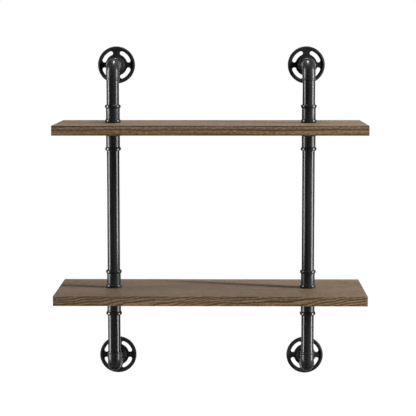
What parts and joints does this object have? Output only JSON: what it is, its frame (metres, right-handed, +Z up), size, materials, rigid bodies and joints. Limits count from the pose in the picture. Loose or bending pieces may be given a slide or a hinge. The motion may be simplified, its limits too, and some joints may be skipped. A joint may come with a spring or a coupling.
{
  "type": "wall shelf",
  "caption": "Wall shelf of two stained oak boards on two pipe uprights, each fixed to the wall through round flanges with kidney slots.",
  "frame": {"origin": "on the wall, midway between the centres of the four wall flanges", "axes": "+X to the right and +Z up as someone in the room sees the shelf, +Y into the wall; the boards reach into the room towards -Y"},
  "size_m": [0.6096, 0.229, 0.6772],
  "materials": {
    "oak": "stained, satin",
    "black_pipe": "semi-gloss black on steel tube",
    "black_casting": "semi-gloss black on malleable iron castings"
  },
  "bodies": {
    "root": {"board_upper": "oak", "board_lower": "oak", "flange_top_left": "black_casting", "wall_nipple_top_left": "black_pipe", "elbow_top_left": "black_casting", "flange_bottom_left": "black_casting", "wall_nipple_bottom_left": "black_pipe", "elbow_bottom_left": "black_casting", "drop_pipe_top_left": "black_pipe", "middle_pipe_left": "black_pipe", "drop_pipe_bottom_left": "black_pipe", "coupling_upper_above_left": "black_casting", "coupling_upper_below_left": "black_casting", "board_nipple_upper_left": "black_pipe", "coupling_lower_above_left": "black_casting", "coupling_lower_below_left": "black_casting", "board_nipple_lower_left": "black_pipe", "flange_top_right": "black_casting", "wall_nipple_top_right": "black_pipe", "elbow_top_right": "black_casting", "flange_bottom_right": "black_casting", "wall_nipple_bottom_right": "black_pipe", "elbow_bottom_right": "black_casting", "drop_pipe_top_right": "black_pipe", "middle_pipe_right": "black_pipe", "drop_pipe_bottom_right": "black_pipe", "coupling_upper_above_right": "black_casting", "coupling_upper_below_right": "black_casting", "board_nipple_upper_right": "black_pipe", "coupling_lower_above_right": "black_casting", "coupling_lower_below_right": "black_casting", "board_nipple_lower_right": "black_pipe"}
  },
  "joints": []
}
